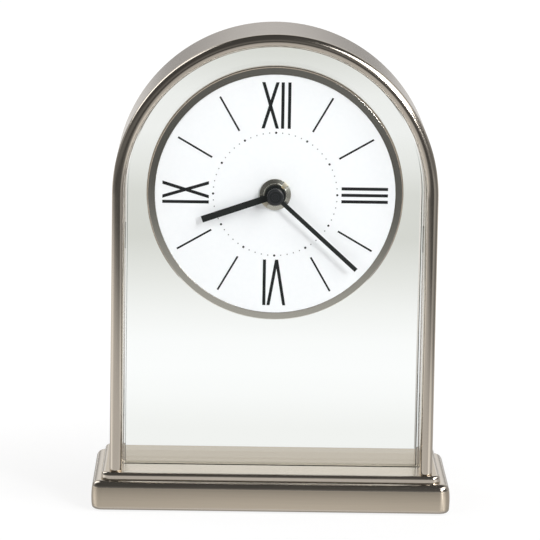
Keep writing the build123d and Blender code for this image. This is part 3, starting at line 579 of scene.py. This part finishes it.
def make_bezel():
    """A ring with a face that slopes a little, a thin polished edge whose lighter metal is a painted
    highlight, and a bevel, cut under at the glass.
    """
    inner, face_end, outer = DIAL_RADIUS + 0.05, 51.4, box("bezel_ring")[1].x
    slope, undercut = 0.2, 0.4
    edge_end = (face_end + 0.17, DIAL_FRONT + 1.15)
    bevel_end = (outer - 0.1, DIAL_FRONT + 2.0)
    wall_end = (outer, GLASS_FRONT - 0.7)
    corners = [
        (inner, DIAL_FRONT), (face_end, DIAL_FRONT + slope), edge_end, bevel_end, wall_end,
        (outer - undercut, GLASS_FRONT), (inner, GLASS_FRONT),
    ]
    profile = rounded(corners, [0.1, 0.12, 0.12, 0.2, 0.15, 0, 0], 5)
    edge_low, edge_high, edge_back = face_end - 0.1, edge_end[0] + 0.05, edge_end[1] + 0.02
    # Faces of the thin edge take the lighter metal, a painted highlight
    tints = [int(edge_low < radius < edge_high and y < edge_back) for radius, y in profile]
    bm = lathe(profile, tints, DIAL_TURNS)
    return piece("bezel_band", bm, "case", [bezel_face, bezel_edge_painted_highlight], ["bezel_ring"])


def make_dial():
    bore, edge = 4.1, 0.08
    corners = [(DIAL_RADIUS, DIAL_FRONT), (DIAL_RADIUS, DIAL_BACK), (bore, DIAL_BACK), (bore, DIAL_FRONT)]
    bm = lathe(rounded(corners, [edge, edge, 0, 0], 3), None, DIAL_TURNS)
    return piece("dial_disc", bm, "case", [dial_white], ["dial_plate"])


def printed(bm, outline, angle):
    """A raised patch of ink; its outline is sideways and outwards, turned clockwise by an angle."""
    sunk, raised = DIAL_FRONT + 0.01, DIAL_FRONT - 0.025
    flat = swung(outline, angle)
    made = skin(bm, [[(x, y, z) for x, z in flat] for y in (sunk, raised)])
    close(bm, [made[0]])
    close(bm, [made[1]])


def stroke(place, low, high, width):
    """Outline of an upright stroke."""
    left, right = place - width / 2, place + width / 2
    return [(left, low), (right, low), (right, high), (left, high)]


def cross(middle, spread, low, high, width):
    """Outline of two strokes that cross half way up."""
    half, rise = width / 2, high - low
    left, right, waist = middle - spread, middle + spread, low + rise / 2
    notch = rise * (spread - half) / (2 * spread)
    return [
        (left - half, low), (left + half, low), (middle, low + notch), (right - half, low),
        (right + half, low), (middle + half, waist), (right + half, high), (right - half, high),
        (middle, high - notch), (left + half, high), (left - half, high), (middle - half, waist),
    ]


def vee(foot, spread, low, high, width):
    """Outline of two strokes that spread from one foot."""
    half = width / 2
    left, right, notch = foot - spread, foot + spread, low + (high - low) * half / spread
    return [
        (foot - half, low), (foot + half, low), (right + half, high), (right - half, high),
        (foot, notch), (left + half, high), (left - half, high),
    ]


def disc(radius, centre, steps):
    """Outline of a round dot."""
    angles = [2 * math.pi * k / steps for k in range(steps)]
    return [(centre[0] + radius * math.cos(a), centre[1] + radius * math.sin(a)) for a in angles]


def make_print():
    """Numerals at every third hour, lines at the others and a track of dots."""
    low, high, wide = 26.8, 45.6, 1.26
    bars = {0: (2.54, 5.22), 90: (-2.64, 0.0, 2.64), 180: (3.9,), 270: (-3.5,)}
    crosses, cross_spread, cross_wide = {0: -2.44, 270: 1.5}, 2.86, wide * 1.05
    vee_angle, vee_foot, vee_spread = 180, -1.0, 3.2
    line_low, line_wide = 29.6, 0.76
    track, hour_dot, minute_dot = (0.0, 25.1), 0.46, 0.26
    bm = bmesh.new()
    for angle, places in bars.items():
        for place in places:
            printed(bm, stroke(place, low, high, wide), angle)
    for angle, place in crosses.items():
        printed(bm, cross(place, cross_spread, low, high, cross_wide), angle)
    printed(bm, vee(vee_foot, vee_spread, low, high, wide), vee_angle)
    for hour in range(12):
        if hour % 3:
            printed(bm, stroke(0.0, line_low, high, line_wide), 30 * hour)
        printed(bm, disc(hour_dot, track, 20), 30 * hour)
    piece("dial_print", bm, "case", [ink])
    bm = bmesh.new()
    for minute in range(60):
        if minute % 5:
            printed(bm, disc(minute_dot, track, 16), 6 * minute)
    piece("dial_dots", bm, "case", [ink_grey])


make_bezel()
make_dial()
make_print()


# Hands, cap and nut

def make_hand(name, node, body, width, length, hub, bore, angle):
    """A straight hand with a round hub, its edges bevelled front and back."""
    half, bevel, steps, hole_turns = width / 2, 0.07, 72, 48
    front, back = (corner.y for corner in box(node))

    def outline(inset):
        reach = hub - inset
        lean = math.asin((half - inset) / reach)
        arc = [lean + (2 * math.pi - 2 * lean) * k / steps for k in range(steps + 1)]
        points = [(reach * math.sin(a), reach * math.cos(a)) for a in arc]
        return points + [(inset - half, length - inset), (half - inset, length - inset)]

    levels = [(bevel, back), (0.0, back - bevel), (0.0, front + bevel), (bevel, front)]
    bm = bmesh.new()
    made = skin(bm, [[(x, y, z) for x, z in swung(outline(inset), angle)] for inset, y in levels])
    hole = skin(bm, [ring(bore, y, hole_turns) for y in (back, front)])
    close(bm, [made[0], hole[0]])
    close(bm, [made[-1], hole[-1]])
    return piece(name, bm, body, [hand_black], [node], 30.0)


def make_cap():
    low, high = box("hand_cap")
    pole, radius = 0.02, high.x
    corners = [(pole, high.y), (radius, high.y), (radius, low.y), (pole, low.y)]
    bm = lathe(rounded(corners, [0, 0.15, 0.45, 0], 8), None, 96, closed=False)
    return piece("cap_knob", bm, "minute", [cap_black], ["hand_cap"])


def make_nut():
    """A round nut with a sloped flange, a collar and a slot across it."""
    low, high = box("hand_nut")
    bore, rim, collar = 4.02, high.x, 4.7
    flange, rise, slot_floor, weld = 0.55, 0.45, high.y - 0.6, 0.002
    slot_angle, slot_width, slot_turns, turns = 45.0, 19.0, 6, 20
    corners = [
        (bore, high.y), (rim, high.y), (rim, high.y - flange), (collar, high.y - flange - rise),
        (collar, low.y), (bore, low.y),
    ]
    whole = rounded(corners, [0, 0.1, 0.15, 0.12, 0.2, 0.1], 4)
    slotted = [(radius, max(y, slot_floor)) for radius, y in whole]
    rows = []
    tints = []
    for side in (0, 180):
        start = slot_angle + side - slot_width / 2
        stops = [(start + slot_width * k / slot_turns, slotted) for k in range(slot_turns + 1)]
        stretch = 180 - slot_width
        stops += [(start + slot_width + stretch * k / turns, whole) for k in range(turns + 1)]
        # Slot faces take the lighter metal, a painted highlight
        tints += [1] * slot_turns + [0] * (turns + 2)
        for angle, profile in stops:
            away, lift = math.cos(math.radians(angle)), math.sin(math.radians(angle))
            rows.append([(radius * away, y, AXIS + radius * lift) for radius, y in profile])
    bm = bmesh.new()
    skin(bm, rows, tints, True)
    bmesh.ops.remove_doubles(bm, verts=bm.verts, dist=weld)
    bmesh.ops.dissolve_degenerate(bm, dist=weld, edges=bm.edges)
    return piece("nut_ring", bm, "case", [nut_metal, slot_painted_highlight], ["hand_nut"], 30.0)


make_hand("hour_bar", "hour_hand", "hour", width=2.7, length=31.2, hub=4.15, bore=2.52, angle=251.0)
make_hand("minute_bar", "minute_hand", "minute", width=1.75, length=44.6, hub=3.3, bore=1.62, angle=132.0)
make_cap()
make_nut()


# Cup behind the glass

def make_cup():
    low, high = box("rear_cup")
    bore, radius, wall, bottom = 4.1, high.x, 1.0, 0.8
    corners = [
        (bore, low.y), (radius, low.y), (radius, high.y), (radius - wall, high.y),
        (radius - wall, low.y + bottom), (bore, low.y + bottom),
    ]
    bm = lathe(rounded(corners, [0, 0.7, 0.45, 0.45, 0.5, 0], 6), None, 180)
    return piece("cup_shell", bm, "case", [cup_metal], ["rear_cup"])


make_cup()


# Movement case: softened edges, and raised marks on its back

def make_softened(name, node, material, width):
    """The CAD shape of a piece of the case with its sharp edges broken."""
    weld, flat, sharp = 0.001, math.radians(0.5), math.radians(40)
    bm = bmesh.new()
    bm.from_mesh(nodes[node].data)
    bm.transform(Matrix.Scale(MM, 4))
    bmesh.ops.remove_doubles(bm, verts=bm.verts, dist=weld)
    bmesh.ops.dissolve_limit(bm, angle_limit=flat, verts=bm.verts, edges=bm.edges)
    edges = [edge for edge in bm.edges if edge.calc_face_angle(0.0) > sharp]
    bmesh.ops.bevel(
        bm, geom=edges, offset=width, segments=2, profile=0.5, affect="EDGES", clamp_overlap=True,
    )
    return piece(name, bm, "case", [material], [node])


# Raised marks stand this far out of the back of the case, and reach this far into it
MARK_RISE, MARK_ROOT = 0.35, 0.1


def embossed(bm, outline, base):
    """A raised shape on the back of the case; its outline is sideways and upwards."""
    made = skin(bm, [[(x, y, z) for x, z in outline] for y in (base - MARK_ROOT, base + MARK_RISE)])
    close(bm, [made[0]])
    close(bm, [made[1]])


def bar(middle, wide, high):
    """Outline of a rectangle round its middle."""
    return stroke(middle[0], middle[1] - high / 2, middle[1] + high / 2, wide)


def oblong(side, floor, top):
    """Corners of a rectangle that is even to both sides."""
    return [(side, top), (-side, top), (-side, floor), (side, floor)]


def arrow(middle, radius, first, last, width, head):
    """Outline of a curved arrow that runs from one angle to another."""
    steps = 20

    def at(reach, angle):
        turn = math.radians(angle)
        return middle[0] + reach * math.cos(turn), middle[1] + reach * math.sin(turn)

    angles = [first + (last - first) * k / steps for k in range(steps + 1)]
    tip = last + math.copysign(math.degrees(2 * head / radius), last - first)
    outline = [at(radius + width / 2, angle) for angle in angles]
    outline += [at(radius + head, last), at(radius, tip), at(radius - head, last)]
    return outline + [at(radius - width / 2, angle) for angle in reversed(angles)]


def make_case_marks():
    """A border, ribs, arrows for the way the knob turns and the signs of the battery's poles."""
    low, high = box("rear_case")
    knob_low, knob_high = box("setting_knob")
    base, edge, line = high.y, 2.2, 0.9
    knob = ((knob_low.x + knob_high.x) / 2, (knob_low.z + knob_high.z) / 2)
    bay_top = box("battery")[1].z + 0.1
    side, floor, top = high.x - edge, bay_top + 4.2, high.z - edge
    bm = bmesh.new()
    loops = (
        rounded(oblong(side, floor, top), [edge] * 4),
        rounded(oblong(side - line, floor + line, top - line), [edge - line] * 4),
    )
    under, over = base - MARK_ROOT, base + MARK_RISE
    levels = ((0, under), (0, over), (1, over), (1, under))
    skin(bm, [[(x, y, z) for x, z in loops[which]] for which, y in levels], None, True)
    rib_middle, rib_drop, rib_pitch, rib_wide, rib_high = 11.5, 6.0, 1.9, 18.0, 0.8
    for k in range(6):
        embossed(bm, bar((rib_middle, top - rib_drop - rib_pitch * k), rib_wide, rib_high), base)
    arrow_radius, arrow_turn, arrow_wide, arrow_head = 8.2, 95, 0.8, 1.3
    for first in (155, -25):
        embossed(bm, arrow(knob, arrow_radius, first, first - arrow_turn, arrow_wide, arrow_head), base)
    inset, level, long, thick = 5.0, bay_top + 2.1, 2.4, 0.7
    arm, arm_long = 0.8, 0.95
    plus, minus = high.x - inset, low.x + inset
    embossed(bm, bar((plus, level), long, thick), base)
    embossed(bm, bar((plus, level + arm), thick, arm_long), base)
    embossed(bm, bar((plus, level - arm), thick, arm_long), base)
    embossed(bm, bar((minus, level), long, thick), base)
    return piece("case_marks", bm, "case", [case_plastic])


make_softened("rear_shell", "rear_case", case_plastic, 0.3)
make_case_marks()


# Finishes of the CAD pieces that stay

KEPT = {
    "bottom_plate": zinc, "plate_screws": zinc, "arch_screws": zinc, "bridge_screws": zinc,
    "contact_minus": zinc, "contact_plus": zinc, "rubber_feet": rubber, "rubber_washer": rubber,
    "glass_cushion": clear_pad, "edge_pads": clear_pad, "hole_sleeve": clear_pad,
    "dial_washer": nut_metal, "dial_spacer": white_plastic, "front_case": case_plastic,
    "chip_cover": case_plastic, "threaded_bush": brass, "minute_pipe": brass,
    "train_bridge": wheel_plastic, "hour_wheel": wheel_plastic, "motion_wheel": wheel_plastic,
    "centre_wheel": wheel_plastic, "third_wheel": wheel_plastic, "fourth_wheel": wheel_plastic,
    "fifth_wheel": wheel_plastic, "rotor": magnet, "stator": steel, "coil": coil_wire,
    "circuit_board": board, "quartz_crystal": can_metal, "setting_knob": knob_plastic,
    "battery": battery_wrap,
}
for name, material in KEPT.items():
    for slot in nodes[name].material_slots:
        slot.material = material


# Floor, with what it shows to the camera, to the metal and through the glass; what it shows to the metal
# is painted reflections

WARM = (1.0, 0.985, 0.96)


def make_floor():
    side, near, end = 3.0, -3.0, 8.0
    bm = bmesh.new()
    for x, y in ((-side, near), (side, near), (side, end), (-side, end)):
        bm.verts.new((x, y, 0.0))
    bm.faces.new(bm.verts)
    mesh = bpy.data.meshes.new("floor")
    bm.to_mesh(mesh)
    bm.free()
    floor = bpy.data.objects.new("floor", mesh)
    bpy.context.scene.collection.objects.link(floor)
    material = bpy.data.materials.new("floor")
    material.use_nodes = True
    tree = material.node_tree
    tree.nodes.remove(tree.nodes["Principled BSDF"])
    light = add(tree, "ShaderNodeLightPath")
    place = add(tree, "ShaderNodeTexCoord").outputs["Object"]
    split = add(tree, "ShaderNodeSeparateXYZ", {"Vector": place})
    far = add(tree, "ShaderNodeVectorMath", {0: place}, operation="LENGTH").outputs["Value"]
    to_pool = {0: place, 1: (-0.2, 0, 0)}
    shifted = add(tree, "ShaderNodeVectorMath", to_pool, operation="DISTANCE").outputs["Value"]
    half_x, half_y = cad_high[0], cad_high[1]
    across, back = split.outputs["X"], split.outputs["Y"]
    within = add(tree, "ShaderNodeClamp", {"Value": across, "Min": -half_x, "Max": half_x}).outputs[0]
    beside = add(tree, "ShaderNodeMath", {0: across, 1: within}, operation="SUBTRACT").outputs[0]
    ahead = add(tree, "ShaderNodeMath", {0: -half_y, 1: back}, operation="SUBTRACT").outputs[0]
    turn = add(tree, "ShaderNodeMath", {0: beside, 1: ahead}, operation="ARCTAN2").outputs[0]

    def grey(tone):
        return tone, tone, tone

    def warm(tone):
        return tuple(tone * share for share in WARM)

    def grey_green(tone):
        return tone, tone, tone * (0.81 + 0.19 * tone)

    def tones(value, low, high, stops, colour=grey):
        share = add(tree, "ShaderNodeMapRange", {"Value": value, "From Min": low, "From Max": high})
        places = [((at - low) / (high - low), colour(tone)) for at, tone in stops]
        return ramp(tree, share.outputs["Result"], places)

    def combine(operation, first, second):
        return add(tree, "ShaderNodeVectorMath", {0: first, 1: second}, operation=operation).outputs[0]

    # What the glass shows behind it, by depth: painted backdrop tones, their darker bands standing in for
    # reflections in the glass
    through = tones(
        back, -0.6, 2.4,
        ((-0.5, 0.95), (-0.1, 0.92), (0.13, 0.92), (0.20, 0.99), (0.26, 1.02), (0.33, 1.01), (0.41, 0.94),
         (0.50, 0.84), (0.64, 0.70), (0.81, 0.72), (0.93, 0.83), (1.10, 0.92), (1.30, 0.90), (1.58, 0.73)),
        grey_green,
    )
    # Painted pool of light round the object that the metal mirrors, with a painted patch just beside the
    # object
    painted_pool = tones(
        shifted, 0.0, 0.8,
        ((0.0, 0.64), (0.28, 0.63), (0.38, 0.55), (0.53, 0.37), (0.61, 0.10), (0.75, 0.07)),
        warm,
    )
    painted_pool = combine("ADD", painted_pool, tones(far, 0.0, 0.8, ((0.04, 0.10), (0.10, 0.0)), warm))
    # Painted highlights by direction from the base, where lamps would shine off the floor at the sides
    sides = tones(
        turn, -math.pi, math.pi,
        ((-2.3, 0.9), (-1.95, 1.15), (-1.72, 1.60), (-1.52, 1.55), (-1.25, 1.3), (-0.8, 1.0), (-0.1, 1.0),
         (0.35, 1.0), (0.60, 1.25), (0.95, 1.40), (1.25, 1.15), (1.60, 0.6)),
    )
    # Painted glints that the metal mirrors, strongest to the front right
    painted_glints = tones(
        turn, -math.pi, math.pi,
        ((-2.0, 0.16), (-0.9, 0.0), (0.35, 0.0), (0.60, 0.30), (0.86, 0.30), (1.20, 0.16), (2.2, 0.16)),
        warm,
    )
    # Tones behind the object that the metal mirrors, darker close to it: painted reflection
    behind = tones(
        far, 0.0, 4.0,
        ((0.08, 0.42), (0.12, 0.48), (0.40, 0.95), (0.70, 1.05), (1.50, 0.90), (3.50, 0.70)),
        warm,
    )
    rear = tones(turn, -math.pi, math.pi, ((-2.4, 1.0), (-1.9, 0.0), (1.9, 0.0), (2.4, 1.0)))
    front = combine("MULTIPLY", rear, (-1, -1, -1))
    front = combine("ADD", front, (1, 1, 1))
    front = combine("MULTIPLY", front, combine("ADD", combine("MULTIPLY", painted_pool, sides), painted_glints))
    # What the floor shows to the metal: painted reflections made from the tones above
    painted_reflections = combine("ADD", front, combine("MULTIPLY", rear, behind))
    bright = tones(far, 0.0, 0.8, ((0.08, 0.84), (0.22, 0.93), (0.45, 1.0)))
    matte = add(tree, "ShaderNodeBsdfDiffuse", {"Color": (0.85, 0.85, 0.85, 1)})
    shade = add(tree, "ShaderNodeBsdfDiffuse", {"Color": (0.18, 0.18, 0.18, 1)})
    white = add(tree, "ShaderNodeEmission", {"Color": bright})
    seen = add(tree, "ShaderNodeAddShader", {0: shade.outputs[0], 1: white.outputs[0]})
    glossy = add(tree, "ShaderNodeEmission", {"Color": painted_reflections})
    clear = add(tree, "ShaderNodeEmission", {"Color": through})
    shown = matte
    for kind, shader in (("Glossy", glossy), ("Transmission", clear), ("Camera", seen)):
        choice = light.outputs[f"Is {kind} Ray"]
        shown = add(tree, "ShaderNodeMixShader", {0: choice, 1: shown.outputs[0], 2: shader.outputs[0]})
    tree.links.new(shown.outputs[0], tree.nodes["Material Output"].inputs["Surface"])
    mesh.materials.append(material)


make_floor()


# Room: dark in front, light behind and to the sides

def make_world():
    world = bpy.data.worlds.new("studio")
    bpy.context.scene.world = world
    world.use_nodes = True
    tree = world.node_tree
    light = add(tree, "ShaderNodeLightPath")
    place = add(tree, "ShaderNodeTexCoord").outputs["Generated"]
    split = add(tree, "ShaderNodeSeparateXYZ", {"Vector": place})
    aside = add(tree, "ShaderNodeMath", {0: split.outputs["X"]}, operation="ABSOLUTE").outputs[0]

    def soft(value, start, end, low, high):
        limits = {"Value": value, "From Min": start, "From Max": end, "To Min": low, "To Max": high}
        return add(tree, "ShaderNodeMapRange", limits, interpolation_type="SMOOTHSTEP").outputs["Result"]

    def times(first, second):
        return add(tree, "ShaderNodeMath", {0: first, 1: second}, operation="MULTIPLY").outputs[0]

    height = split.outputs["Z"]
    back = times(soft(split.outputs["Y"], 0.0, 0.45, 0.0, 0.82), soft(aside, 0.15, 0.6, 1.0, 0.45))
    back = times(back, times(soft(height, 0.07, 0.20, 0.36, 1.0), soft(height, 0.45, 0.85, 1.0, 0.0)))
    dim = times(soft(height, 0.05, 0.5, 0.17, 0.07), soft(split.outputs["Y"], 0.2, 0.7, 1.0, 0.4))
    room = add(tree, "ShaderNodeMath", {0: back, 1: dim}, operation="ADD").outputs[0]
    background = tree.nodes["Background"]
    tree.links.new(room, background.inputs["Strength"])
    white = add(tree, "ShaderNodeBackground", {"Strength": 1.0, "Color": (1, 1, 1, 1)})
    background.inputs["Color"].default_value = (*WARM, 1)
    plain = {0: light.outputs["Is Camera Ray"], 1: light.outputs["Is Transmission Ray"]}
    plain = add(tree, "ShaderNodeMath", plain, operation="MAXIMUM").outputs[0]
    mix = add(tree, "ShaderNodeMixShader", {0: plain, 1: background.outputs[0], 2: white.outputs[0]})
    tree.links.new(mix.outputs[0], tree.nodes["World Output"].inputs["Surface"])


def softbox(name, place, aim, size, power, shine=True):
    """A rectangular lamp that faces its aim, and that the metal reflects where it has shine."""
    lamp = bpy.data.lights.new(name, "AREA")
    lamp.shape = "RECTANGLE"
    lamp.size, lamp.size_y = size
    lamp.energy = power
    shown = bpy.data.objects.new(name, lamp)
    bpy.context.scene.collection.objects.link(shown)
    shown.visible_glossy = shine
    shown.location = place
    shown.rotation_euler = (Vector(place) - Vector(aim)).to_track_quat("Z", "Y").to_euler()


make_world()
softbox("key", (0.78, -0.52, 0.86), (0.0, 0.0, 0.12), (0.85, 0.6), 8.6)
softbox("front", (0.72, -1.0, 0.54), (0.0, 0.0, 0.12), (0.22, 0.22), 5.8)
softbox("fill", (-0.95, -0.75, 0.70), (0.0, 0.0, 0.1), (1.1, 1.0), 6.2, False)
softbox("rim", (-0.72, 0.45, 0.80), (0.0, 0.0, 0.15), (0.45, 0.80), 2.2)
softbox("side", (0.95, 0.10, 0.82), (0.0, 0.0, 0.15), (0.5, 0.4), 1.0)


# Camera at the photograph's place

def make_camera():
    place, focal_length, sensor = (-0.0193, -1.43655, 0.3530), 237.13, 36.0
    yaw, pitch, roll = (math.radians(a) for a in (0.714, 10.177, 0.926))
    ahead = Vector((math.sin(yaw) * math.cos(pitch), math.cos(yaw) * math.cos(pitch), -math.sin(pitch)))
    right = Vector((math.cos(yaw), -math.sin(yaw), 0.0))
    up = right.cross(ahead)
    across = right * math.cos(roll) + up * math.sin(roll)
    upward = up * math.cos(roll) - right * math.sin(roll)
    lens = bpy.data.cameras.new("camera")
    lens.lens, lens.sensor_width = focal_length, sensor
    lens.clip_start, lens.clip_end = 0.05, 20.0
    camera = bpy.data.objects.new("camera", lens)
    bpy.context.scene.collection.objects.link(camera)
    axes = Matrix((across, upward, -ahead)).transposed().to_4x4()
    camera.matrix_world = Matrix.Translation(place) @ axes
    bpy.context.scene.camera = camera


make_camera()
bpy.context.scene.view_settings.view_transform = "Standard"
